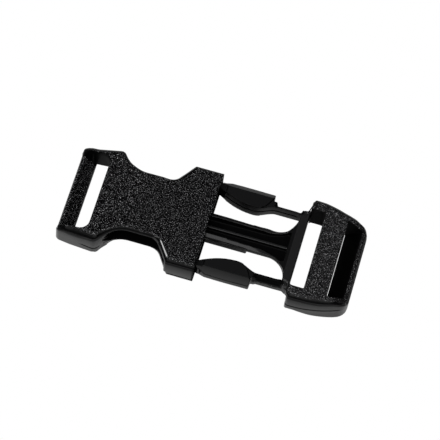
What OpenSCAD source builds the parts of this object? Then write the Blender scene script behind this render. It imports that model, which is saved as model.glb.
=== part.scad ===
// Side-release buckle for 25 mm webbing, shown with the plug part of the way into the socket.
// X runs along the strap from the socket to the plug, Y across it and Z up from the surface it lies on.
// The origin is on that surface, at the middle of the buckle's length.

/* [Socket] */
// Length of the socket, from its mouth to its strap end
socket_length = 42.9; // [42.5:0.1:44]
// Width of the socket across its mouth
socket_width = 34; // [33.6:0.1:35]
// Thickness of the body, over both shells
body_thickness = 9; // [8.8:0.1:9.6]
// Thickness of the top and bottom shells
shell = 1.6; // [1.2:0.1:1.7]
// Width left between the two finger scoops
scoop_waist = 20.1; // [19.4:0.1:21]
// Width of the socket where its strap end block begins
socket_block_width = 31.7; // [31.2:0.1:32.4]
// Inside width of the mouth, behind its chamfer
mouth_width = 32.05; // [31.95:0.05:32.2]
// How far the two strap ends bend down below the body
end_drop = 1.9; // [1.6:0.1:2]

/* [Plug] */
// Distance from the mouth to the strap end of the plug, as shown
plug_reach = 45.9; // [45.6:0.1:46.4]
// Distance from the mouth to the front of the plug's side rails, as shown
rail_front = 27.8; // [27.7:0.1:28]
// Width of the plug across its side rails
plug_width = 34; // [33.6:0.1:34.6]
// Width of the crossbar that the arms and the guide grow from
crossbar = 2.5; // [2.4:0.1:2.7]
// Width of the guide, over its two rims
guide_width = 8.3; // [8:0.1:8.6]
// Thickness of the guide
guide_thickness = 4.2; // [3.8:0.1:4.4]
// Distance from the mouth to the tip of the guide, inside the socket
guide_tip = 3; // [2:0.1:3.5]

/* [Release arms] */
// Width over the two pads at their widest
pad_span = 31.8; // [31.4:0.1:31.8]
// Thickness of a pad
pad_thickness = 5.2; // [4.8:0.1:5.3]
// Distance from the mouth to the shoulder at the back of a pad, as shown
shoulder = 16.5; // [16.2:0.1:16.6]
// Width of the spring neck of an arm
neck_width = 1.5; // [1.3:0.1:1.6]
// Height of the spring neck of an arm
neck_height = 4.6; // [4:0.1:4.8]

/* [Strap slots] */
// Length of each strap slot, for 25 mm webbing
slot_length = 26; // [25.6:0.1:26.2]
// Width of the socket's strap slot, along the strap
socket_slot = 5.3; // [5:0.1:5.4]
// Width of the plug's first strap slot, along the strap
plug_slot = 4.5; // [4.3:0.1:4.6]
// Width of the plug's centre bar, along the strap
centre_bar = 7.2; // [7:0.1:7.3]

/* [Hidden] */
steps = 10;                              // segments in a quarter of an outline's curve
past = 0.5;                              // how far a cut runs past the face it opens
far = 60;                                // longer and wider than any part of the buckle
overall = socket_length + plug_reach;
mouth_x = socket_length - overall / 2;   // the mouth's place along X
mid_z = end_drop + body_thickness / 2;   // the height of the middle plane
half_t = body_thickness / 2;
half_cavity = half_t - shell;
base = -half_t - end_drop;               // underside of the strap ends, from the middle plane

// Socket outline
lobe_r = 1;
scoop_r = 3.6;                           // curve of a scoop next to the mouth lobe
scoop_long_r = 9;                        // long curve of a scoop towards the strap end
scoop_near = 15.3;                       // where the scoop's straight bottom begins, from the mouth
scoop_far = 21.5;                        // where it ends
lobe_lean = 33;                          // lean of the lobe's flank off square, in degrees
block_lean = 7.4;                        // taper of the strap end block's sides, in degrees
block_r = 2.2;
end_r = 1.6;
bend_x = 24;                             // where the strap end begins to bend down, from the mouth
socket_bend = 7.4;                       // lean of the bent ends, in degrees
plug_bend = 8.4;
edge_r = 1.5;                            // roll of the long edges
setback = 0.8;                           // the bottom shell stops this much short of the top one at a scoop

// Inside of the socket
catch_x = 9.25;                          // inner edge of the mouth band, which the shoulders catch on
lead_in = 0.5;                           // chamfer on the mouth's inner side edges
rail_start = 6.5;                        // where the two walls beside the guide begin
rail_gap = guide_width + 1.6;
rail_wall = 1;
channel_end = 30.4;
channel_half = guide_thickness / 2 + 0.3;
pocket_out = [29.4, 14.2];               // a pad pocket's end wall, at the outline
pocket_in = [25.6, 7.9];                 // the same wall, inside
round_x = 24;                            // where the pocket's end begins to round off, seen from the side
round_length = 4.8;

// Strap slot of the socket
slot_edge = 33.65;                       // the slot's edge on the shell side, from the mouth
slot_lean = atan(end_drop / (socket_length - bend_x));
slot_r = 2.6;

// Guide
guide_step = 12.8;                       // where its underside steps up, from the mouth
flare_top = 0.9;                         // the thin web at the flares, from the middle plane
flare_under = -0.4;                      // its underside; the rest of the guide goes lower
root_top = 0.6;                          // top of the webs between crossbar and rails
hollow_floor = -0.3;
rib_top = 0.8;

// Arms
root_x = rail_front - 1.4;               // hinge line of an arm
neck_y = 12;
knuckle_r = neck_width / 2;
knuckle_gap = 0.06;
swing_room = 7;                          // flare of an arm's seat, in degrees each way
pad_out = pad_span / 2;
pad_in = 9.2;                            // inner edge of a pad at its widest
pad_mid = 11;                            // where a pad's inner edge swells most, from the mouth
pad_ridge = 13.8;                        // a pad's flat top ends here, and slants down to its outer edge
pad_edge = 0.9;                          // the outer edge is upright this far up and down
tip_r = 1.36;
tip_y = 13.6;

function arc(cx, cy, r, a0, a1, n = steps) =
    [for (i = [0:n]) [cx + r * cos(a0 + (a1 - a0) * i / n), cy + r * sin(a0 + (a1 - a0) * i / n)]];

function flip(points) = [for (i = [len(points) - 1:-1:0]) [points[i][0], -points[i][1]]];

// A closed outline from its +Y half
function both_sides(half) = concat(half, flip(half));

// The socket in plan, +Y half, from the mouth to the strap end, with X counted from the mouth
function socket_half() = let (
    top = socket_width / 2,
    waist = scoop_waist / 2,
    a = 180 - lobe_lean,
    dip = [-scoop_near + scoop_r * cos(-lobe_lean), waist + scoop_r + scoop_r * sin(-lobe_lean)],
    rise = (top - lobe_r + lobe_r * sin(a) - dip[1]) / cos(lobe_lean),
    lobe_x = dip[0] + rise * sin(lobe_lean) - lobe_r * cos(a),
    long_y = waist + scoop_long_r,
    block_top = socket_block_width / 2,
    turn = asin((long_y - block_top + block_r) / (scoop_long_r + block_r)),
    block_x = -scoop_far - (scoop_long_r + block_r) * cos(turn),
    block_y = long_y - (scoop_long_r + block_r) * sin(turn),
    end_x = -socket_length + end_r,
    end_y = block_y + (block_r - end_r) / cos(block_lean) + (end_x - block_x) * tan(block_lean)
) concat(
    [[0, top]],
    arc(lobe_x, top - lobe_r, lobe_r, 90, a, 6),
    arc(-scoop_near, waist + scoop_r, scoop_r, -lobe_lean, -90),
    arc(-scoop_far, long_y, scoop_long_r, -90, -180 + turn, 14),
    arc(block_x, block_y, block_r, turn, 90 + block_lean, 6),
    arc(end_x, end_y, end_r, 90 + block_lean, 180, 8)
);

// The socket from the side, with Z counted from the middle plane
socket_side = concat(
    [[0, -half_t], [0, half_t], [-bend_x + 3, half_t], [-bend_x - 2, half_t - 0.15]],
    arc(-socket_length + 3.8, half_t - end_drop - 3.9, 3.8, 84, 176, 8),
    arc(-socket_length + 0.8, base + 0.8, 0.8, 180, 270, 4),
    [[-socket_length + 4.6, base], [-bend_x, -half_t]]
);

// A stretch along the strap with rolled long edges
module rolled_stretch(width, length) {
    w = width / 2 - edge_r;
    h = half_t - edge_r;
    rotate([90, 0, 90])
        linear_extrude(length)
            polygon(concat(
                arc(w, h, edge_r, 0, 90, 4), arc(-w, h, edge_r, 90, 180, 4),
                arc(-w, -h, edge_r, 180, 270, 4), arc(w, -h, edge_r, 270, 360, 4)
            ));
}

// The same, straight from near to the knee and bent down beyond it, towards the strap end
module rolled_body(width, near, knee, reach, bend) {
    lap = 0.6;
    translate([near, 0, 0])
        rolled_stretch(width, knee - near + lap / 2);
    translate([knee, 0, 0])
        rotate([0, bend, 0])
            translate([-lap, 0, 0])
                rolled_stretch(width, reach + lap);
}

module side_section(points, width) {
    translate([0, width / 2, 0])
        rotate([90, 0, 0])
            linear_extrude(width)
                polygon(points);
}

module plan_section(points, low, high) {
    translate([0, 0, low])
        linear_extrude(high - low)
            polygon(points);
}

// Room inside the socket: a hall behind the mouth, a channel for the guide and a pocket for each pad
module socket_room() {
    hall = mouth_width / 2;
    rail_in = rail_gap / 2;
    rail_out = rail_in + rail_wall;
    slope = (pocket_out[0] - pocket_in[0]) / (pocket_out[1] - pocket_in[1]);
    corner = pocket_in[0] - (pocket_in[1] - rail_out) * slope;
    outside = pocket_out[0] + (socket_width / 2 - pocket_out[1]) * slope;
    pocket = [
        [-rail_start, rail_out], [-rail_start, hall], [-catch_x, hall], [-catch_x, far],
        [-outside, far], [-outside, socket_width / 2], [-corner, rail_out]
    ];
    lip = hall + lead_in + past;
    plan_section([
        [past, -lip], [past, lip], [-lead_in, hall], [-rail_start, hall],
        [-rail_start, -hall], [-lead_in, -hall]
    ], -half_cavity, half_cavity);
    for (side = [pocket, flip(pocket)])
        intersection() {
            plan_section(side, -half_cavity, half_cavity);
            side_section(concat(
                [[0, -half_cavity], [0, half_cavity]],
                [for (a = [90:-10:-90]) [-round_x - round_length * cos(a), half_cavity * sin(a)]]
            ), far * 2);
        }
    plan_section([
        [-rail_start + past, -rail_in], [-rail_start + past, rail_in],
        [-channel_end, rail_in], [-channel_end, -rail_in]
    ], -channel_half, channel_half);
}

// At the scoops the bottom shell stops short of the top one, so a finger meets no edge there
module scoop_setback() {
    waist = scoop_waist / 2;
    near_y = waist + scoop_r;
    near_r = scoop_r + setback;
    flank = [near_r * cos(lobe_lean) - scoop_near, near_y - near_r * sin(lobe_lean)];
    side = concat(
        [flank + 7.5 * [sin(lobe_lean), cos(lobe_lean)]],
        arc(-scoop_near, near_y, near_r, -lobe_lean, -90),
        arc(-scoop_far, waist + scoop_long_r, scoop_long_r + setback, -90, -138, 12),
        [[-scoop_far - 7.5, socket_width]]
    );
    for (one = [side, flip(side)])
        plan_section(one, -half_t - past, 0.3 - half_cavity);
}

// The strap slot and the dip over the end bar, as one cut through the bent end
module socket_slot_cut() {
    half = slot_length / 2;
    translate([-slot_edge, 0, half_t - end_drop / 2])
        rotate([0, -slot_lean, 0])
            translate([0, 0, -far / 2])
                linear_extrude(far)
                    polygon(both_sides(concat(
                        [[0, 0]],
                        arc(-slot_r, half - slot_r, slot_r, 0, 90, 6),
                        [[-far, half]]
                    )));
}

// The end bar is a low wedge, and the strap lies in the dip above it
module socket_end_bar() {
    left = -socket_length;
    right = -slot_edge - socket_slot + 0.75;
    side_section([
        [right, base], [right - 0.2, base + 0.7], [right - 0.9, base + 1.5], [right - 2.4, base + 3],
        [left + 1.1, base + 4.2], [left + 0.4, base + 4], [left, base + 3.3],
        [left, base + 0.8], [left + 0.8, base]
    ], slot_length + 1);
}

module socket() {
    color("#26272a")
        translate([mouth_x, 0, mid_z])
            intersection() {
                union() {
                    difference() {
                        plan_section(both_sides(socket_half()), base, half_t);
                        socket_room();
                        socket_slot_cut();
                        scoop_setback();
                    }
                    socket_end_bar();
                }
                plan_section(both_sides(socket_half()), base, half_t);
                side_section(socket_side, socket_width);
                mirror([1, 0, 0])
                    rolled_body(socket_width, 0, bend_x, socket_length - bend_x + 1, socket_bend);
            }
}

// The plug's frame in plan, +Y half, from the front of its rails to the strap end
function frame_half() = let (
    top = plug_width / 2,
    front_r = 1,
    side_r = 35.5,
    corner_r = 4,
    side_x = rail_front + 1.7,
    turn = acos((plug_reach - corner_r - side_x) / (side_r - corner_r)),
    corner_y = top - side_r + (side_r - corner_r) * sin(turn)
) concat(
    arc(rail_front + front_r, top - front_r, front_r, 180, 90, 4),
    arc(side_x, top - side_r, side_r, 90, turn, 8),
    arc(plug_reach - corner_r, corner_y, corner_r, turn, 0, 10)
);

// The frame from the side
frame_side = concat(
    [[rail_front, -half_t], [rail_front, half_t], [rail_front + 5, half_t - 0.1],
        [rail_front + 10, half_t - 0.7], [rail_front + 14, half_t - 1.6]],
    arc(plug_reach - 3, half_t - 5.6, 3, 62, 0, 6),
    arc(plug_reach - 0.8, base + 0.8, 0.8, 0, -90, 4),
    [[plug_reach - 3.6, base], [rail_front + 3, -half_t]]
);

// Outline of the guide and its flares up to the crossbar, +Y half, from the guide's tip
function guide_half(inset = 0) = let (
    w = guide_width / 2,
    flare_r = 6.1,
    flare_x = rail_front - 8.6,
    front = rail_front - crossbar,
    r = flare_r + inset
) concat(
    [[-guide_tip, w - 1.2], [-guide_tip + 1.2, w], [guide_step - 0.1, w], [guide_step, w + 0.1 - inset]],
    arc(flare_x, w + 0.1 + flare_r, r, -90, -acos((front - 0.2 - flare_x) / r), 12),
    [[front + 0.5, neck_y - knuckle_r], [front + 0.5, 0]]
);

// Outline of the crossbar, +Y half, up to the front of the rails
crossbar_half = [
    [rail_front - crossbar, 0], [rail_front - crossbar, neck_y], [root_x, neck_y + 0.9],
    [rail_front, neck_y + 0.9], [rail_front, 0]
];

// The guide from the side: it thins towards the crossbar, and the crossbar is its thickest part
function guide_side() = let (
    h = guide_thickness / 2,
    bar = pad_thickness / 2,
    front = rail_front - crossbar
) [
    [-guide_tip, -1.2], [-guide_tip, 1.2], [-guide_tip + 1.5, h], [5, h], [16, h - 0.5],
    [19, flare_top], [front - 2.4, flare_top], [front, bar], [front + 0.5, bar],
    [front + 0.5, -1.4], [guide_step, -1.4], [guide_step, -h], [-guide_tip + 1.5, -h]
];

// Seat of an arm's root: a bore, with a flared way out to the front
module arm_seat() {
    r = knuckle_r + knuckle_gap;
    reach = crossbar;
    translate([root_x, neck_y, -half_t])
        cylinder(h = body_thickness, r = r, $fn = 48);
    plan_section([
        [root_x, neck_y + r], [root_x - reach, neck_y + r + reach * tan(swing_room)],
        [root_x - reach, neck_y - r - reach * tan(swing_room)], [root_x, neck_y - r]
    ], -half_t, half_t);
}

// Hollows in the guide's top, either side of a low central rib
module guide_hollows() {
    edge = guide_width / 2 - 1.4;
    rib = 0.45;
    back = rail_front - 3.6;
    hollow = [[-guide_tip - past, rib], [-guide_tip - past, edge], [back - 6, edge + 0.3],
        [back - 2.6, edge + 1.2], [back - 1, edge + 2.1], [back - 0.2, edge + 2.1],
        [back, edge + 1.8], [back, rib]];
    for (side = [hollow, flip(hollow)])
        plan_section(side, hollow_floor, half_t);
    plan_section([[-guide_tip - past, -rib], [-guide_tip - past, rib], [back, rib], [back, -rib]],
        rib_top, half_t);
}

// The web where a rail's front joins the crossbar, with a concave corner outside
module rail_root() {
    bar = pad_thickness / 2;
    plan_section(concat(
        [[root_x, neck_y], [root_x, neck_y + 0.95]],
        arc(root_x, neck_y + 2.7, 1.6, -80, -8, 6),
        [[rail_front + 0.6, neck_y + 3], [rail_front + 0.6, slot_length / 2], [rail_front - 0.1, slot_length / 2 - 1]]
    ), -bar, root_top);
}

// Centre bar and end bar lean the same way, so the strap leaves at a slant
module plug_bars() {
    left = rail_front + plug_slot - 0.1;
    right = left + centre_bar;
    side_section([
        [left + 0.3, base + 1.1], [left, base + 1.6], [left, half_t - 0.2], [left + 0.3, half_t],
        [right - 0.2, half_t - 0.8], [right, half_t - 1.1], [right - 3, base + 1.2], [right - 3.4, base + 0.8]
    ], slot_length + 1);
    side_section([
        [plug_reach - 7.15, base], [plug_reach - 1.9, half_t - 3.7], [plug_reach - 1.5, half_t - 3.4],
        [plug_reach - 0.6, half_t - 3.8], [plug_reach, half_t - 5], [plug_reach, base + 0.8],
        [plug_reach - 0.8, base]
    ], slot_length + 0.4);
}

// The opening inside the rails, before the bars are put in
module frame_window() {
    left = rail_front - 0.1;
    half = slot_length / 2;
    narrow = half - 1.4;
    plan_section(both_sides(concat(
        arc(left + 1, half - 1, 1, 180, 90, 4),
        [[plug_reach - 6.5, half], [plug_reach - 2.2, narrow], [plug_reach + past, narrow]]
    )), base - past, half_t + past);
}

module plug() {
    color("#1f2023")
        translate([mouth_x, 0, mid_z])
            union() {
                intersection() {
                    union() {
                        difference() {
                            plan_section(both_sides(frame_half()), base, half_t);
                            frame_window();
                        }
                        plug_bars();
                    }
                    plan_section(both_sides(frame_half()), base, half_t);
                    side_section(frame_side, plug_width);
                    rolled_body(plug_width, rail_front, rail_front + 3.2, plug_reach - rail_front, plug_bend);
                }
                difference() {
                    union() {
                        difference() {
                            intersection() {
                                union() {
                                    plan_section(both_sides(guide_half()), flare_under, half_t);
                                    plan_section(both_sides(guide_half(0.6)), -half_t, flare_under);
                                }
                                side_section(guide_side(), plug_width);
                            }
                            guide_hollows();
                        }
                        plan_section(both_sides(crossbar_half), -pad_thickness / 2, pad_thickness / 2);
                        rail_root();
                        mirror([0, 1, 0])
                            rail_root();
                    }
                    arm_seat();
                    mirror([0, 1, 0])
                        arm_seat();
                }
            }
}

// An arm in plan: round the root, out along the neck and the pad, round the tip and back inside.
// The next two give the inner edge's distance from the middle at a given distance from the mouth
function neck_in(x) = pad_in + (neck_y - knuckle_r - pad_in) * (1 - cos(180 * (x - pad_mid - 0.6) / 6.4)) / 2;
function tip_in(x) = pad_in + (tip_y - tip_r * 0.96 - pad_in) * pow((pad_mid - x) / (pad_mid - 0.6), 2);

function arm_root() = arc(root_x, neck_y, knuckle_r, -90, 90, 12);
function neck_back() = [[shoulder + 1.7, neck_y + knuckle_r + 0.3], [shoulder + 0.2, neck_y + knuckle_r + 0.4],
    [shoulder, neck_y + knuckle_r + 0.6]];
function pad_back() = [[shoulder - 2, pad_in + 1.5], [shoulder - 1.2, pad_in + 2.8], [shoulder - 0.6, pad_in + 4],
    [shoulder - 0.1, pad_in + 5.1]];
function pad_side() = concat([[shoulder, pad_out - 0.3], [shoulder - 0.3, pad_out - 0.1]],
    [for (x = [13, 10, 6, 3]) [x, pad_out - 0.004 * pow(x - 9, 2)]]);
function pad_tip() = arc(tip_r - 0.4, tip_y, tip_r, 80, 230, 8);
function pad_inner() = [for (x = [1.4:1.6:pad_mid]) [x, tip_in(x)]];
function neck_inner(stop) = [for (x = [pad_mid + 0.6:0.8:stop]) [x, neck_in(x)]];

// An arm across: slanted outer faces above and below an upright edge
module pad_section(high) {
    translate([-past * 2, 0, 0])
        rotate([90, 0, 90])
            linear_extrude(far)
                polygon([
                    [0, -high], [pad_ridge, -high], [pad_out, -pad_edge],
                    [pad_out, pad_edge], [pad_ridge, high], [0, high]
                ]);
}

module arm() {
    low = neck_height / 2;
    high = pad_thickness / 2;
    translate([mouth_x, 0, mid_z]) {
        intersection() {
            union() {
                // Spring core, from the root to the tip
                plan_section(concat(
                    arm_root(), neck_back(), pad_side(), pad_tip(), pad_inner(), neck_inner(pad_mid + 7)
                ), -low, low);
                // The pad stands proud above and below, and ends square at the shoulder
                intersection() {
                    plan_section(concat(
                        pad_back(), pad_side(), pad_tip(), pad_inner(), neck_inner(pad_mid + 2.6)
                    ), -high, high);
                    side_section([
                        [shoulder + past, -high], [shoulder + past, high], [2.4, high], [0.6, high - 0.9],
                        [-past, high - 2], [-past, -high + 2], [0.6, -high + 0.9], [2.4, -high]
                    ], far);
                }
            }
            pad_section(high);
        }
        // Pivot knuckle inside the crossbar
        translate([root_x, neck_y, -low])
            cylinder(h = neck_height, r = knuckle_r, $fn = 48);
    }
}

module arm_left() {
    color("#17181a")
        arm();
}

module arm_right() {
    color("#17181a")
        mirror([0, 1, 0])
            arm();
}

socket();
plug();
arm_left();
arm_right();
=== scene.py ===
import math

import bmesh
import bpy
import numpy as np
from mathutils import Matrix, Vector


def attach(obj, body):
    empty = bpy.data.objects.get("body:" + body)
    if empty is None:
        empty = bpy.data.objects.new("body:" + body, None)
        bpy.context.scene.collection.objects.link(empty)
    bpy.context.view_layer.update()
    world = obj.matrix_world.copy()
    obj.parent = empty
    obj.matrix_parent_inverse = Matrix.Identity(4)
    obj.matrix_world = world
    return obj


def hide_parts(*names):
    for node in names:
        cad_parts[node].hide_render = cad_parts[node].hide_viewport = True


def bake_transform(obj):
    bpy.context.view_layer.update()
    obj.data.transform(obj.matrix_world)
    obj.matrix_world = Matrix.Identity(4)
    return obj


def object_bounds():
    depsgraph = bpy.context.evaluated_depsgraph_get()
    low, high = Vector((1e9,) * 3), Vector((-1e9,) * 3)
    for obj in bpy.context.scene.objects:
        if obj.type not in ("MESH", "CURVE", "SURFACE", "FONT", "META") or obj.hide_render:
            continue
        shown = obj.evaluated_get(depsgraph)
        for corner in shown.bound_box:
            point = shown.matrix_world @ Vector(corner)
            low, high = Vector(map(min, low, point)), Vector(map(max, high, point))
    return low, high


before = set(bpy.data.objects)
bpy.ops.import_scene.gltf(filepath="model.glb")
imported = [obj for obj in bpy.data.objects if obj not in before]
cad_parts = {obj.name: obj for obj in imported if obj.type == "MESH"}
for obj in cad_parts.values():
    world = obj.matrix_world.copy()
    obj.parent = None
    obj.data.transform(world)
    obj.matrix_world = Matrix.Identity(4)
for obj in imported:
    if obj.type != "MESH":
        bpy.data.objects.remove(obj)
cadLow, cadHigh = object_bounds()

# Camera, at the photograph's viewing angle

cameraSettings = {
    "place": (0.049328, -0.343940, 0.673051),
    "turn": (27.4651, -4.0564, 15.6494),   # degrees
    "lens": 208.333,
    "sensor": 36.0,
    "clip": (0.01, 10),
}


def makeCamera(settings):
    data = bpy.data.cameras.new("camera")
    data.sensor_fit = "HORIZONTAL"
    data.sensor_width = settings["sensor"]
    data.lens = settings["lens"]
    data.clip_start, data.clip_end = settings["clip"]
    camera = bpy.data.objects.new("camera", data)
    camera.location = settings["place"]
    camera.rotation_euler = [math.radians(a) for a in settings["turn"]]
    bpy.context.scene.collection.objects.link(camera)
    bpy.context.scene.camera = camera
    return camera


makeCamera(cameraSettings)
print("camera placed")

# Shapes are worked on in millimetres, with X from the socket's mouth and Z from the middle plane

millimetre = 0.001
mouthPlace = Vector((-0.0015, 0, 0.0064))
weldDistance = 0.0005


def localCopy(node):
    form = bmesh.new()
    form.from_mesh(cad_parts[node].data)
    for vertex in form.verts:
        vertex.co = (vertex.co - mouthPlace) / millimetre
    bmesh.ops.remove_doubles(form, verts=form.verts, dist=weldDistance)
    return form


def addRod(form, x, y, radius, length, sides=24):
    made = bmesh.ops.create_cone(form, cap_ends=True, segments=sides,
                                 radius1=radius, radius2=radius, depth=length)
    for vertex in made["verts"]:
        vertex.co += Vector((x, y, 0))


def addSmooth(piece, name, rounds):
    smooth = piece.modifiers.new(name, "SMOOTH")
    smooth.factor = 0.5
    smooth.iterations = rounds


def bake(piece):
    graph = bpy.context.evaluated_depsgraph_get()
    mesh = bpy.data.meshes.new_from_object(piece.evaluated_get(graph))
    piece.modifiers.clear()
    piece.data = mesh
    return mesh


def readPoints(mesh):
    co = np.empty(len(mesh.vertices) * 3)
    mesh.vertices.foreach_get("co", co)
    return co.reshape(-1, 3)


def writePoints(mesh, co):
    mesh.vertices.foreach_set("co", co.reshape(-1))
    mesh.update()


def finishShape(form, name, settings, sculpt):
    # Fuses the solids into one skin, eases its edges, sculpts it and brings it back to metres
    mesh = bpy.data.meshes.new(name)
    form.to_mesh(mesh)
    form.free()
    piece = bpy.data.objects.new(name, mesh)
    bpy.context.scene.collection.objects.link(piece)
    fuse = piece.modifiers.new("fuse", "REMESH")
    fuse.mode = "VOXEL"
    fuse.voxel_size = settings["voxel"]
    fuse.use_smooth_shade = True
    addSmooth(piece, "ease", settings["ease"])
    mesh = bake(piece)
    co = readPoints(mesh)
    sculpt(co, settings)
    writePoints(mesh, co)
    addSmooth(piece, "settle", 1)
    thin = piece.modifiers.new("thin", "DECIMATE")
    thin.ratio = settings["keep"]
    mesh = bake(piece)
    mesh.name = name
    co = readPoints(mesh) * millimetre + np.array(mouthPlace)
    writePoints(mesh, np.clip(co, cadLow, cadHigh))
    print(name, "has", sum(len(p.vertices) - 2 for p in mesh.polygons), "triangles")
    return piece


# Outlines in plan of the half with Y above zero, run with the inside on their left


def arcOf(cx, cy, radius, start, stop, steps):
    turn = np.radians(np.linspace(start, stop, steps))
    return np.stack((cx + radius * np.cos(turn), cy + radius * np.sin(turn)), 1)


def socketOutline(s):
    lean, taper = math.radians(s["lobeLean"]), math.radians(s["blockLean"])
    dipX = -s["scoopNear"] + s["scoopCurve"] * math.cos(lean)
    dipY = s["waist"] + s["scoopCurve"] * (1 - math.sin(lean))
    rise = (s["half"] - s["lobeCurve"] * (1 - math.sin(lean)) - dipY) / math.cos(lean)
    lobeX = dipX + rise * math.sin(lean) + s["lobeCurve"] * math.cos(lean)
    longY = s["waist"] + s["longCurve"]
    reach = s["longCurve"] + s["blockCurve"]
    turn = math.asin((longY - s["blockHalf"] + s["blockCurve"]) / reach)
    blockX = -s["scoopFar"] - reach * math.cos(turn)
    blockY = longY - reach * math.sin(turn)
    endX = -s["length"] + s["endCurve"]
    endY = blockY + (s["blockCurve"] - s["endCurve"]) / math.cos(taper) + (endX - blockX) * math.tan(taper)
    turn = math.degrees(turn)
    return np.concatenate((
        [(0, s["half"])],
        arcOf(lobeX, s["half"] - s["lobeCurve"], s["lobeCurve"], 90, 180 - s["lobeLean"], 8),
        arcOf(-s["scoopNear"], s["waist"] + s["scoopCurve"], s["scoopCurve"], -s["lobeLean"], -90, 18),
        arcOf(-s["scoopFar"], longY, s["longCurve"], -90, turn - 180, 24),
        arcOf(blockX, blockY, s["blockCurve"], turn, 90 + s["blockLean"], 14),
        arcOf(endX, endY, s["endCurve"], 90 + s["blockLean"], 180, 14),
        [(-s["length"], 0)]))


def frameOutline(s):
    sideX = s["front"] + s["sideFrom"]
    turn = math.acos((s["reach"] - s["cornerCurve"] - sideX) / (s["sideCurve"] - s["cornerCurve"]))
    cornerY = s["half"] - s["sideCurve"] + (s["sideCurve"] - s["cornerCurve"]) * math.sin(turn)
    turn = math.degrees(turn)
    return np.concatenate((
        [(s["reach"], 0)],
        arcOf(s["reach"] - s["cornerCurve"], cornerY, s["cornerCurve"], 0, turn, 18),
        arcOf(sideX, s["half"] - s["sideCurve"], s["sideCurve"], turn, 90, 18),
        arcOf(s["front"] + s["frontCurve"], s["half"] - s["frontCurve"], s["frontCurve"], 90, 180, 8)))


def nearestOnOutline(co, outline):
    # How far inside the outline each point lies, the way in, and the nearest place on the outline.
    # Closer than turnDistance to it, the way in is square to the outline.
    turnDistance = 0.1
    spot = np.stack((co[:, 0], np.abs(co[:, 1])), 1)
    inside = np.full(len(spot), 1e6)
    inward = np.zeros_like(spot)
    nearest = np.zeros_like(spot)
    for start, stop in zip(outline[:-1], outline[1:]):
        length = np.linalg.norm(stop - start)
        if length < 1e-6:
            continue
        along = (stop - start) / length
        left = np.array((-along[1], along[0]))
        place = start + np.clip((spot - start) @ along, 0, length)[:, None] * along
        gap = spot - place
        distance = np.hypot(gap[:, 0], gap[:, 1])
        sign = np.where(gap @ left < 0, -1.0, 1.0)
        closer = distance < np.abs(inside)
        way = gap * (sign / np.maximum(distance, 1e-6))[:, None]
        way = np.where((distance > turnDistance)[:, None], way, left)
        inside[closer] = (distance * sign)[closer]
        inward[closer] = way[closer]
        nearest[closer] = place[closer]
    return inside, inward, nearest


def moveInward(co, chosen, inward, shift):
    side = np.where(co[chosen, 1] < 0, -1.0, 1.0)
    co[chosen, 0] += inward[chosen, 0] * shift
    co[chosen, 1] += inward[chosen, 1] * shift * side


def rollEdges(co, outline, level, radiusOf, up=1, slack=0.5):
    # Rounds the edge where an outline's wall meets the surface at the height level, above it or below it
    inside, inward, nearest = nearestOnOutline(co, outline)
    radius = radiusOf(nearest)
    depth = (level - co[:, 2]) * up
    across, down = radius - inside, radius - depth
    reach = np.hypot(across, down)
    over = (across > 0) & (down > 0) & (reach > radius) & (depth > -slack)
    share = radius[over] / reach[over]
    moveInward(co, over, inward, across[over] * (1 - share))
    co[over, 2] = (level - up * radius)[over] + up * down[over] * share


def ramp(value, low, high):
    share = np.clip((value - low) / (high - low), 0, 1)
    return share * share * (3 - 2 * share)


def between(value, low, high):
    return (value > low) & (value < high)


def partingWall(inside, height, level, skin=(-0.35, -0.15), softness=0.05):
    # The outline's wall above the parting line at the height level
    return ramp(-inside, *skin) * ramp(height, level - softness, level + softness)


def bentTop(x, s):
    # Height of a strap end's flat top: level up to the knee, and bent down beyond it
    bend = math.radians(s["bend"])
    beyond = np.maximum(np.sign(x) * (x - s["knee"]), 0)
    return np.minimum(s["halfThickness"], s["halfThickness"] / math.cos(bend) - math.tan(bend) * beyond)


# In the tables "top", "base" and "roll", each pair is the distance from the mouth and the value there

socketSettings = {
    "voxel": 0.17, "ease": 4, "keep": 0.4,
    "length": 42.9, "half": 17.0, "waist": 10.05, "lobeCurve": 1.0, "lobeLean": 33.0,
    "scoopNear": 15.3, "scoopFar": 21.5, "scoopCurve": 3.6, "longCurve": 9.0,
    "blockHalf": 15.85, "blockCurve": 2.2, "blockLean": 7.4, "endCurve": 1.6,
    "halfThickness": 4.5, "knee": -24.0, "bend": 7.4,
    "top": ((-42.9, -1.3), (-42.4, 0.62), (-41.3, 1.8), (-40.0, 2.39),
            (-38.7, 2.48), (-26.0, 4.35), (-21.0, 4.5), (1.0, 4.5)),
    "base": ((-42.9, -6.4), (-38.3, -6.4), (-24.0, -4.5), (0.0, -4.5)),
    "roll": ((-42.9, 0.5), (-41.5, 2.0), (-38.0, 2.9), (-30.0, 2.5), (-26.0, 1.2),
             (-17.0, 0.9), (-14.0, 1.4), (-9.0, 2.2), (0.0, 2.1)),
    "lowerRoll": 0.7,
    "innerFloor": -2.9, "setback": 0.8, "lipDepth": 2.6, "lipFade": 1.8, "lipTop": (0.15, 0.3),
    "lipMargin": 0.02, "lipStart": (-30.6, -29.6), "lipEnd": (-14.5, -12.0), "earFill": (-28.5, -25.0),
    "partingHeight": -2.95, "partingStep": 0.16,
    "lobeParting": (-12.0, -10.5), "earPartingStart": (-36.0, -33.0), "earPartingEnd": (-30.0, -28.5),
    "slotX": (-39.4, -33.4), "slotWall": (12.6, 13.5), "slotFlare": 0.08, "flareFrom": 1,
}
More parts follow.
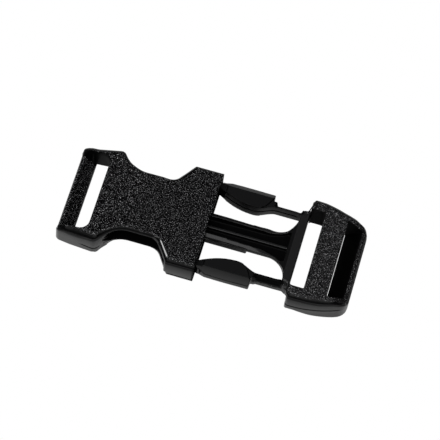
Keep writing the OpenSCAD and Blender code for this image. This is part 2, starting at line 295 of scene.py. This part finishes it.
plugSettings = {
    "voxel": 0.17, "ease": 4, "keep": 0.7,
    "front": 27.8, "sideFrom": 1.7, "frontCurve": 1.0, "reach": 45.9, "half": 17.0,
    "sideCurve": 35.5, "cornerCurve": 4.0,
    "halfThickness": 4.5, "knee": 31.0, "bend": 8.4,
    "top": ((27.0, 4.5), (27.8, 4.5), (32.8, 4.4), (37.8, 3.8),
            (41.8, 2.9), (44.3, 1.55), (45.2, 0.6), (45.9, -1.1)),
    "base": ((27.0, -4.5), (30.8, -4.5), (42.3, -6.4), (45.9, -6.4)),
    "roll": ((27.8, 2.3), (38.0, 2.5), (43.0, 1.6), (45.5, 0.5), (45.9, 0.3)),
    "lowerRoll": 0.7, "frameMargin": 0.6,
    "partingHeight": -1.6, "partingStep": 0.16, "partingEnd": (43.0, 45.0),
    "barEdge": 38.9, "barHalf": 13, "edgeReach": 0.25, "edgeWidth": 0.5, "edgeHeights": (-5.6, -4.8),
    "guideHalf": 4.15, "guideTo": 22.0, "guideFade": (14.0, 19.0),
    "rimInner": 2.75, "rimMargin": 0.4, "rimSlope": 0.4, "rimHeights": (0.9, 1.6),
    "rodX": 26.4, "rodY": 12.0, "rodRadius": 0.95, "rodLength": 4.6,
}
armSettings = {
    "voxel": 0.12, "ease": 5, "keep": 0.6,
    "neckStart": (17.4, 18.2), "neckEnd": (25.0, 25.6),
    "neckEdge": 12.75, "neckSlantFrom": 0.3, "neckSlant": 0.6,
    "partingHeight": 0.0, "partingStep": 0.18, "partingSoftness": 0.06,
    "partingStart": (1.6, 2.6), "partingEnd": (23.5, 25.0),
    "innerFrom": -1, "innerStep": 0.25, "innerSteps": 128, "innerBelow": 1.5, "innerDepth": (0.3, 0.7),
    "bendFrom": 0.0243, "bendTo": 0.0145, "bendSide": 0.012, "bendHeight": 0.0064,   # metres, as packed
}


def readTable(x, table):
    xs, values = zip(*table)
    return np.interp(x, xs, values)


def topHeight(co, s):
    return np.minimum(readTable(co[:, 0], s["top"]), bentTop(co[:, 0], s))


def baseHeight(co, s):
    return readTable(co[:, 0], s["base"])


def rollBoth(co, outline, s):
    # The large roll at the top and the small one at the base
    rollEdges(co, outline, topHeight(co, s), lambda nearest: readTable(nearest[:, 0], s["roll"]))
    rollEdges(co, outline, baseHeight(co, s), lambda nearest: np.full(len(nearest), s["lowerRoll"]), -1)


def sculptSocket(co, s):
    outline = socketOutline(s)
    rollBoth(co, outline, s)
    inside, inward, nearest = nearestOnOutline(co, outline)
    along = nearest[:, 0]
    # At the scoops the lower shell comes out flush at its inner floor.
    # Below that it slopes in, except at the ears.
    scoop = ramp(along, *s["lipStart"]) * (1 - ramp(along, *s["lipEnd"]))
    bottom = baseHeight(co, s)
    height = np.clip((co[:, 2] - bottom) / (s["innerFloor"] - bottom), 0, 1)
    height = np.maximum(height, 1 - ramp(along, *s["earFill"]))
    height = height * (1 - ramp(co[:, 2] - s["innerFloor"], *s["lipTop"]))
    out = s["setback"] * scoop * height * np.clip((s["lipDepth"] - inside) / s["lipFade"], 0, 1)
    out = np.minimum(out, np.maximum(inside - s["lipMargin"], 0))
    chosen = out > 0
    moveInward(co, chosen, inward, -out[chosen])
    # The shells meet at a small step round the lobes and the ends of the ears
    ears = ramp(along, *s["earPartingStart"]) * (1 - ramp(along, *s["earPartingEnd"]))
    wall = partingWall(inside, co[:, 2], s["partingHeight"])
    wall = wall * np.maximum(ramp(along, *s["lobeParting"]), ears)
    chosen = wall > 0
    moveInward(co, chosen, inward, s["partingStep"] * wall[chosen])
    # The strap slot's end walls flare towards the underside
    flare = between(co[:, 0], *s["slotX"]) & between(np.abs(co[:, 1]), *s["slotWall"])
    flare = flare & (co[:, 2] < s["flareFrom"])
    co[flare, 1] += np.sign(co[flare, 1]) * s["slotFlare"] * (s["flareFrom"] - co[flare, 2])


def sculptPlug(co, s):
    frameZone = co[:, 0] > s["front"] - s["frameMargin"]
    part = co[frameZone]
    outline = frameOutline(s)
    rollBoth(part, outline, s)
    inside, inward, nearest = nearestOnOutline(part, outline)
    wall = partingWall(inside, part[:, 2], s["partingHeight"]) * (1 - ramp(nearest[:, 0], *s["partingEnd"]))
    chosen = wall > 0
    moveInward(part, chosen, inward, s["partingStep"] * wall[chosen])
    # The end bar's lower front edge stays crisp, and leaves only a thin line of light beside the centre bar
    edge = np.exp(-((part[:, 0] - s["barEdge"]) / s["edgeWidth"]) ** 2)
    edge = edge * (1 - ramp(part[:, 2], *s["edgeHeights"])) * (np.abs(part[:, 1]) < s["barHalf"])
    part[:, 0] -= s["edgeReach"] * edge
    co[frameZone] = part
    # The guide's rims slope down to its sides
    across = np.abs(co[:, 1])
    rim = between(across, s["rimInner"], s["guideHalf"] + s["rimMargin"])
    rim = rim & (co[:, 0] < s["guideTo"]) & (co[:, 2] > s["rimHeights"][0])
    lower = s["rimSlope"] * (across - s["rimInner"]) * (1 - ramp(co[:, 0], *s["guideFade"]))
    co[rim, 2] -= lower[rim] * ramp(co[rim, 2], *s["rimHeights"])


def depthBehindInnerFace(co, s):
    # How deep each point lies behind the face that is turned to the buckle's middle
    across = np.abs(co[:, 1])
    steps = ((co[:, 0] - s["innerFrom"]) / s["innerStep"]).astype(int)
    steps = np.clip(steps, 0, s["innerSteps"] - 1)
    face = np.full(s["innerSteps"], 1e6)
    low = co[:, 2] < s["innerBelow"]
    np.minimum.at(face, steps[low], across[low])
    return across - face[steps]


def sculptArm(co, s):
    side = np.where(co[:, 1] < 0, -1.0, 1.0)
    # The neck's outer face slants in above its lower edge
    edge = s["neckEdge"] - s["neckSlant"] * np.maximum(co[:, 2] - s["neckSlantFrom"], 0)
    neck = ramp(co[:, 0], *s["neckStart"]) * (1 - ramp(co[:, 0], *s["neckEnd"]))
    co[:, 1] -= np.maximum(np.abs(co[:, 1]) - edge, 0) * neck * side
    # The inner face steps back above the parting line, except at the root
    line, softness = s["partingHeight"], s["partingSoftness"]
    back = ramp(co[:, 2], line - softness, line + softness)
    back = back * (1 - ramp(depthBehindInnerFace(co, s), *s["innerDepth"]))
    back = back * ramp(co[:, 0], *s["partingStart"]) * (1 - ramp(co[:, 0], *s["partingEnd"]))
    co[:, 1] += s["partingStep"] * back * side


socketPiece = finishShape(localCopy("socket"), "socketShell", socketSettings, sculptSocket)
plugForm = localCopy("plug")
for side in (1, -1):   # a rod in each arm's seat makes the crossbar one piece with the neck
    addRod(plugForm, plugSettings["rodX"], plugSettings["rodY"] * side,
           plugSettings["rodRadius"], plugSettings["rodLength"])
plugPiece = finishShape(plugForm, "plugFrame", plugSettings, sculptPlug)
armPieces = {node: finishShape(localCopy(node), name, armSettings, sculptArm)
             for node, name in (("arm_left", "releaseArmLeft"), ("arm_right", "releaseArmRight"))}
print("shapes made")

# Moulded black plastic


def newGroup(name, inputs, outputs):
    group = bpy.data.node_groups.new(name, "ShaderNodeTree")
    for label, kind, value in inputs:
        socket = group.interface.new_socket(name=label, in_out="INPUT", socket_type=kind)
        if value is not None:
            socket.default_value = value
    for label, kind in outputs:
        group.interface.new_socket(name=label, in_out="OUTPUT", socket_type=kind)
    return group, group.nodes.new("NodeGroupInput"), group.nodes.new("NodeGroupOutput")


grainSettings = {
    "perMetre": 1000,             # the scales count grains per millimetre
    "peakRange": (0.52, 0.80), "peakSharpness": 3.0,
    "coarseDetail": 2, "coarseRoughness": 0.6,
}


def makeGrainGroup(settings):
    # Spark-eroded grain on faces that look up or down: a height for the bump, and a colour with small bright
    # peaks painted as glints (painted highlights). Evenness spreads that painted highlight colour over the
    # whole face. Polish is for the walls, and grows from the dull height down to the polished one.
    group, start, end = newGroup(
        "sparkGrainPaintedGlints",
        [("Scale", "NodeSocketFloat", 3.0), ("Peak Scale", "NodeSocketFloat", 3.0),
         ("Evenness", "NodeSocketFloat", 0.0),
         ("Smooth Roughness", "NodeSocketFloat", 0.2), ("Grain Roughness", "NodeSocketFloat", 0.4),
         ("Lowest Slope", "NodeSocketFloat", 0.93), ("Full Slope", "NodeSocketFloat", 0.99),
         ("Pit Colour", "NodeSocketColor", None), ("Painted Highlight Colour", "NodeSocketColor", None),
         ("Dull Height", "NodeSocketFloat", 0.0092), ("Polished Height", "NodeSocketFloat", 0.0042)],
        [("Height", "NodeSocketFloat"), ("Roughness", "NodeSocketFloat"), ("Colour", "NodeSocketColor"),
         ("Polish", "NodeSocketFloat")])
    nodes, links = group.nodes, group.links

    def addMath(operation, first, second=None):
        step = nodes.new("ShaderNodeMath")
        step.operation = operation
        links.new(first, step.inputs[0])
        if second is not None:
            links.new(second, step.inputs[1])
        return step

    def addMix(kind, factor, first, second=None):
        mix = nodes.new("ShaderNodeMix")
        mix.data_type = kind
        links.new(factor, mix.inputs["Factor"])
        links.new(first, mix.inputs["A"])
        if second is not None:
            links.new(second, mix.inputs["B"])
        return mix

    def upwardPart(vector):
        split = nodes.new("ShaderNodeSeparateXYZ")
        links.new(vector, split.inputs[0])
        return split.outputs["Z"]

    place = nodes.new("ShaderNodeTexCoord")
    slope = addMath("ABSOLUTE", upwardPart(place.outputs["Normal"]))
    mask = nodes.new("ShaderNodeMapRange")
    mask.interpolation_type = "SMOOTHSTEP"
    links.new(slope.outputs[0], mask.inputs["Value"])
    links.new(start.outputs["Lowest Slope"], mask.inputs["From Min"])
    links.new(start.outputs["Full Slope"], mask.inputs["From Max"])
    scale = nodes.new("ShaderNodeVectorMath")
    scale.operation = "SCALE"
    scale.inputs["Scale"].default_value = settings["perMetre"]
    links.new(place.outputs["Object"], scale.inputs[0])
    coarse = nodes.new("ShaderNodeTexNoise")
    coarse.inputs["Detail"].default_value = settings["coarseDetail"]
    coarse.inputs["Roughness"].default_value = settings["coarseRoughness"]
    links.new(scale.outputs[0], coarse.inputs["Vector"])
    links.new(start.outputs["Scale"], coarse.inputs["Scale"])
    height = addMath("MULTIPLY", coarse.outputs["Fac"], mask.outputs["Result"])
    fine = nodes.new("ShaderNodeTexNoise")
    fine.inputs["Detail"].default_value = 0
    links.new(scale.outputs[0], fine.inputs["Vector"])
    links.new(start.outputs["Peak Scale"], fine.inputs["Scale"])
    peaks = nodes.new("ShaderNodeMapRange")
    peaks.inputs["From Min"].default_value, peaks.inputs["From Max"].default_value = settings["peakRange"]
    links.new(fine.outputs["Fac"], peaks.inputs["Value"])
    sharper = addMath("POWER", peaks.outputs["Result"])
    sharper.inputs[1].default_value = settings["peakSharpness"]
    even = addMix("FLOAT", start.outputs["Evenness"], sharper.outputs[0])
    even.inputs["B"].default_value = 1.0
    share = addMath("MULTIPLY", even.outputs["Result"], mask.outputs["Result"])
    shade = addMix("RGBA", share.outputs[0], start.outputs["Pit Colour"], start.outputs["Painted Highlight Colour"])
    rough = addMix("FLOAT", mask.outputs["Result"],
                   start.outputs["Smooth Roughness"], start.outputs["Grain Roughness"])
    polish = nodes.new("ShaderNodeMapRange")
    links.new(upwardPart(place.outputs["Object"]), polish.inputs["Value"])
    links.new(start.outputs["Dull Height"], polish.inputs["From Min"])
    links.new(start.outputs["Polished Height"], polish.inputs["From Max"])
    links.new(height.outputs[0], end.inputs["Height"])
    links.new(rough.outputs["Result"], end.inputs["Roughness"])
    links.new(shade.outputs["Result"], end.inputs["Colour"])
    links.new(polish.outputs["Result"], end.inputs["Polish"])
    return group


grainGroup = makeGrainGroup(grainSettings)
plasticIndex = 1.48


def makePlastic(name, settings):
    # "group" holds the grain's inputs. A finish of one roughness has it on the shader's own socket.
    material = bpy.data.materials.new(name)
    material.use_nodes = True
    nodes, links = material.node_tree.nodes, material.node_tree.links
    shader = nodes["Principled BSDF"]
    shader.inputs["IOR"].default_value = plasticIndex
    shader.inputs["Specular IOR Level"].default_value = settings["specular"]
    grain = nodes.new("ShaderNodeGroup")
    grain.node_tree = grainGroup
    for label, value in settings["group"].items():
        grain.inputs[label].default_value = value
    bump = nodes.new("ShaderNodeBump")
    bump.inputs["Strength"].default_value = settings["bump"]
    bump.inputs["Distance"].default_value = settings["depth"]
    links.new(grain.outputs["Height"], bump.inputs["Height"])
    links.new(bump.outputs["Normal"], shader.inputs["Normal"])
    links.new(grain.outputs["Colour"], shader.inputs["Base Color"])
    if "roughness" in settings:
        shader.inputs["Roughness"].default_value = settings["roughness"]
    else:
        links.new(grain.outputs["Roughness"], shader.inputs["Roughness"])
    if "coatRoughness" in settings:
        shader.inputs["Coat Roughness"].default_value = settings["coatRoughness"]
        shader.inputs["Coat IOR"].default_value = plasticIndex
        links.new(grain.outputs["Polish"], shader.inputs["Coat Weight"])
    return material


# Near-white peaks are painted glints, standing in for the light the grain's facets catch
coarseGrainAndGlints = {
    "Pit Colour": (0.0012, 0.0012, 0.0014, 1), "Painted Highlight Colour": (0.58, 0.58, 0.595, 1),
    "Scale": 1.8, "Peak Scale": 4.4, "Smooth Roughness": 0.3, "Grain Roughness": 0.16,
}
# Faces that look up or down get the lighter of the two blacks, a faint painted light
wallBlack = {
    "Pit Colour": (0.002, 0.002, 0.0022, 1), "Painted Highlight Colour": (0.004, 0.004, 0.0044, 1),
    "Evenness": 1.0, "Lowest Slope": 0.93, "Full Slope": 0.985,
}
grainedPlastic = makePlastic("grainedPlastic", {
    "group": {**coarseGrainAndGlints, "Lowest Slope": 0.8, "Full Slope": 0.985},
    "specular": 0.12, "bump": 0.3, "depth": 0.0003})
barPlastic = makePlastic("barPlastic", {
    "group": {**coarseGrainAndGlints, "Lowest Slope": 0.2, "Full Slope": 0.5},
    "specular": 0.3, "bump": 0.3, "depth": 0.0003})
# Its near-white peaks are painted glints too
finePlastic = makePlastic("finePlastic", {
    "group": {"Pit Colour": (0.0016, 0.0016, 0.0018, 1), "Painted Highlight Colour": (0.62, 0.62, 0.636, 1),
              "Scale": 2.2, "Peak Scale": 5.0, "Evenness": 0.012,
              "Smooth Roughness": 0.3, "Grain Roughness": 0.16, "Lowest Slope": 0.74, "Full Slope": 0.98},
    "specular": 0.16, "bump": 0.3, "depth": 0.0002})
# Painted light: a lighter black on the guide's and crossbar's upward faces, standing in for the light they
# reflect
paintedLitTopPlastic = makePlastic("paintedLitTopPlastic", {
    "group": {"Pit Colour": (0.008, 0.008, 0.0083, 1), "Painted Highlight Colour": (0.021, 0.021, 0.0216, 1),
              "Evenness": 0.8, "Lowest Slope": 0.86, "Full Slope": 0.97},
    "specular": 0.4, "roughness": 0.2, "bump": 0.2, "depth": 0.00005})
# Painted light: a lighter black on the release arms' pad tops, standing in for the light they reflect
paintedLitPadPlastic = makePlastic("paintedLitPadPlastic", {
    "group": {"Pit Colour": (0.002, 0.002, 0.0022, 1), "Painted Highlight Colour": (0.013, 0.013, 0.0135, 1),
              "Evenness": 0.9, "Lowest Slope": 0.88, "Full Slope": 0.98},
    "specular": 0.08, "roughness": 0.2, "bump": 0.1, "depth": 0.00005})
smoothPlastic = makePlastic("smoothPlastic", {
    "group": wallBlack,
    "specular": 0.12, "roughness": 0.14, "coatRoughness": 0.14, "bump": 0.2, "depth": 0.00005})
# Painted shade: a darker black for the slots, rooms, guide hollows, the faces behind the mouth and the necks
paintedShadePlastic = makePlastic("paintedShadePlastic", {
    "group": {**wallBlack, "Pit Colour": (0.001, 0.001, 0.0011, 1), "Painted Highlight Colour": (0.002, 0.002, 0.0022, 1)},
    "specular": 0.06, "roughness": 0.4, "bump": 0.2, "depth": 0.00005})
creasePlastic = makePlastic("creasePlastic", {
    "group": wallBlack,
    "specular": 0.6, "roughness": 0.1, "bump": 0.2, "depth": 0.00005})
finishes = (smoothPlastic, grainedPlastic, barPlastic, finePlastic,
            paintedLitTopPlastic, paintedLitPadPlastic, paintedShadePlastic, creasePlastic)
smooth, grained, bar, fine, paintedLitTop, paintedLitPad, paintedShade, crease = range(len(finishes))


def paintFaces(piece, zoneOf):
    # Gives each face its finish, by where it lies and which way it looks
    mesh = piece.data
    mesh.materials.clear()
    for material in finishes:
        mesh.materials.append(material)
    middles = np.empty(len(mesh.polygons) * 3)
    mesh.polygons.foreach_get("center", middles)
    middles = (middles.reshape(-1, 3) - np.array(mouthPlace)) / millimetre
    normals = np.empty(len(mesh.polygons) * 3)
    mesh.polygons.foreach_get("normal", normals)
    mesh.polygons.foreach_set("material_index", zoneOf(middles, normals.reshape(-1, 3)).astype(np.int32))
    mesh.update()


# Where each finish lies: lengths in millimetres, and parts of a face's direction along X, Y and Z
bodyFinish = {
    "roomInside": 1.2, "roomDepth": 0.45,     # slots and rooms: behind the outline, and below the top
    "floorDepth": 2, "floorUp": 0.3,
    "skinDepth": 1.45, "skinUp": 0.35, "underDepth": 0.4, "underUp": -0.6,
}
socketFinish = {
    "barTo": -38.1, "barHalf": 12.8, "barUp": 0.25,
    "creaseX": (-19, -8.6), "creaseSide": 9, "creaseBack": -0.16,
    "creaseHeight": 2.5, "creaseUp": (0.05, 0.975),
    "slotX": (-42.3, -33.4), "slotSide": (12.2, 14.4), "slotFacing": 0.3,
    "mouthFrom": -0.4, "mouthDepth": 0.35,
}
plugFinish = {
    "guideMargin": 0.1, "outerFacing": 0.3, "outerSide": 3.6, "lowHeight": -0.5,
    "topUp": 0.45, "topHeight": 0.5,
}
armFinish = {
    "padUp": 0.8, "padHeight": 0.8,
    "neckX": (16.9, 26), "neckHeight": -0.5, "neckSide": 13.3, "neckFacing": 0.2, "neckUp": 0.5,
}


def bodyZone(middles, normals, s, outline, skin):
    # Grain with painted glints on the outer skin, and painted shade, a darker black, in the slots and rooms
    finish = bodyFinish
    depth = topHeight(middles, s) - middles[:, 2]
    inside = nearestOnOutline(middles, outline)[0]
    up = normals[:, 2]
    zone = np.full(len(middles), smooth)
    zone[(inside > finish["roomInside"]) & (depth > finish["roomDepth"])] = paintedShade
    zone[(depth > finish["floorDepth"]) & (up > finish["floorUp"])] = paintedShade
    zone[(depth < finish["skinDepth"]) & (up > finish["skinUp"])] = skin
    zone[(middles[:, 2] - baseHeight(middles, s) < finish["underDepth"]) & (up < finish["underUp"])] = skin
    return zone


def socketZone(middles, normals):
    finish = socketFinish
    zone = bodyZone(middles, normals, socketSettings, socketOutline(socketSettings), grained)
    along, across, up = middles[:, 0], np.abs(middles[:, 1]), normals[:, 2]
    zone[(along < finish["barTo"]) & (across < finish["barHalf"]) & (up > finish["barUp"])] = bar
    # The lobes' top edges beside the scoops shine
    flank = between(along, *finish["creaseX"]) & (across > finish["creaseSide"])
    flank = flank & (normals[:, 0] < finish["creaseBack"]) & (middles[:, 2] > finish["creaseHeight"])
    zone[flank & between(up, *finish["creaseUp"])] = crease
    facing = -normals[:, 1] * np.sign(middles[:, 1])
    # Painted shade on the strap slot's end walls
    slotWalls = between(along, *finish["slotX"]) & between(across, *finish["slotSide"])
    zone[slotWalls & (facing > finish["slotFacing"])] = paintedShade
    # Painted shade on the faces just behind the mouth's edge
    depth = topHeight(middles, socketSettings) - middles[:, 2]
    zone[(along > finish["mouthFrom"]) & (depth > finish["mouthDepth"])] = paintedShade
    return zone


def plugZone(middles, normals):
    finish = plugFinish
    zone = bodyZone(middles, normals, plugSettings, frameOutline(plugSettings), fine)
    side = np.where(middles[:, 1] < 0, -1.0, 1.0)
    guide = middles[:, 0] < plugSettings["front"] + finish["guideMargin"]
    outer = (normals[:, 1] * side > finish["outerFacing"]) & (np.abs(middles[:, 1]) > finish["outerSide"])
    # Painted shade in the guide and crossbar, except on faces looking out or lying low; painted light on
    # their upward faces
    zone[guide] = paintedShade
    zone[guide & (outer | (middles[:, 2] < finish["lowHeight"]))] = smooth
    zone[guide & (normals[:, 2] > finish["topUp"]) & (middles[:, 2] > finish["topHeight"])] = paintedLitTop
    return zone


def armZone(middles, normals):
    finish = armFinish
    side = np.where(middles[:, 1] < 0, -1.0, 1.0)
    # Painted light on the pad tops
    padTop = (normals[:, 2] > finish["padUp"]) & (middles[:, 2] > finish["padHeight"])
    zone = np.where(padTop, paintedLitPad, smooth)
    neck = between(middles[:, 0], *finish["neckX"]) & (middles[:, 2] > finish["neckHeight"])
    neck = neck & (np.abs(middles[:, 1]) < finish["neckSide"])
    # Painted shade on the necks' outer and upper faces
    zone[neck & ((normals[:, 1] * side > finish["neckFacing"]) | (normals[:, 2] > finish["neckUp"]))] = paintedShade
    return zone


paintFaces(socketPiece, socketZone)
paintFaces(plugPiece, plugZone)
for piece, body, slot in ((socketPiece, "socket", "socket_plastic"), (plugPiece, "plug", "plug_plastic")):
    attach(piece, body)
    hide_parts(body)
for node, piece in armPieces.items():
    paintFaces(piece, armZone)
    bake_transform(piece)
    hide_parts(node)
print("materials assigned")

# Floor and studio light


floorSettings = {"reach": 3, "paleness": 0.85}


def makeFloor(settings):
    mesh = bpy.data.meshes.new("floor")
    reach, paleness = settings["reach"], settings["paleness"]
    corners = [(-reach, -reach, 0), (reach, -reach, 0), (reach, reach, 0), (-reach, reach, 0)]
    mesh.from_pydata(corners, [], [(0, 1, 2, 3)])
    floor = bpy.data.objects.new("floor", mesh)
    bpy.context.scene.collection.objects.link(floor)
    material = bpy.data.materials.new("paleFloor")
    material.use_nodes = True
    nodes, links = material.node_tree.nodes, material.node_tree.links
    nodes.clear()
    matt = nodes.new("ShaderNodeBsdfDiffuse")
    matt.inputs["Color"].default_value = (paleness, paleness, paleness, 1)
    white = nodes.new("ShaderNodeEmission")   # what the camera sees: paper lit so evenly that no shadow shows
    path = nodes.new("ShaderNodeLightPath")
    mix = nodes.new("ShaderNodeMixShader")
    out = nodes.new("ShaderNodeOutputMaterial")
    links.new(path.outputs["Is Camera Ray"], mix.inputs["Fac"])
    links.new(matt.outputs[0], mix.inputs[1])
    links.new(white.outputs[0], mix.inputs[2])
    links.new(mix.outputs[0], out.inputs["Surface"])
    mesh.materials.append(material)


def makeLight(name, place, target, size, power):
    data = bpy.data.lights.new(name, "AREA")
    data.shape = "RECTANGLE"
    data.size, data.size_y = size
    data.energy = power
    light = bpy.data.objects.new(name, data)
    light.location = place
    light.rotation_euler = (Vector(target) - Vector(place)).to_track_quat("-Z", "Y").to_euler()
    bpy.context.scene.collection.objects.link(light)


studioSettings = {
    "glow": 0.05,               # brightness of the studio overhead
    # sine of the elevation, and brightness there as a share of the glow
    "walls": ((0.0, 0.2), (0.3, 0.35), (0.7, 1.0), (1.0, 1.0)),
    "softboxes": (
        # name, place, size, power
        ("overheadSoftbox", (0.0, -0.68, 1.0), (1.6, 1.25), 10.5),
        ("leftSoftbox", (-0.7, 0.0, 0.72), (0.25, 0.3), 2.6),
    ),
}


def makeWorld(settings):
    # A round studio that grows brighter from the floor to overhead
    world = bpy.data.worlds.new("studio")
    world.use_nodes = True
    nodes, links = world.node_tree.nodes, world.node_tree.links
    nodes.clear()
    place = nodes.new("ShaderNodeTexCoord")
    split = nodes.new("ShaderNodeSeparateXYZ")
    links.new(place.outputs["Generated"], split.inputs[0])
    shades = nodes.new("ShaderNodeValToRGB")
    stops = shades.color_ramp.elements
    while len(stops) < len(settings["walls"]):
        stops.new(0.5)
    for stop, (position, share) in zip(stops, settings["walls"]):
        stop.position = position
        stop.color = (share, share, share, 1)
    links.new(split.outputs["Z"], shades.inputs["Fac"])
    walls = nodes.new("ShaderNodeBackground")
    walls.inputs["Strength"].default_value = settings["glow"]
    links.new(shades.outputs["Color"], walls.inputs["Color"])
    paper = nodes.new("ShaderNodeBackground")      # what the camera sees past the floor
    paper.inputs["Color"].default_value = (1, 1, 1, 1)
    path = nodes.new("ShaderNodeLightPath")
    mix = nodes.new("ShaderNodeMixShader")
    out = nodes.new("ShaderNodeOutputWorld")
    links.new(path.outputs["Is Camera Ray"], mix.inputs["Fac"])
    links.new(walls.outputs[0], mix.inputs[1])
    links.new(paper.outputs[0], mix.inputs[2])
    links.new(mix.outputs[0], out.inputs["Surface"])
    bpy.context.scene.world = world


makeFloor(floorSettings)
makeWorld(studioSettings)
for name, place, size, power in studioSettings["softboxes"]:
    makeLight(name, place, (0, 0, 0), size, power)
bpy.context.scene.view_settings.view_transform = "Standard"
print("light set")
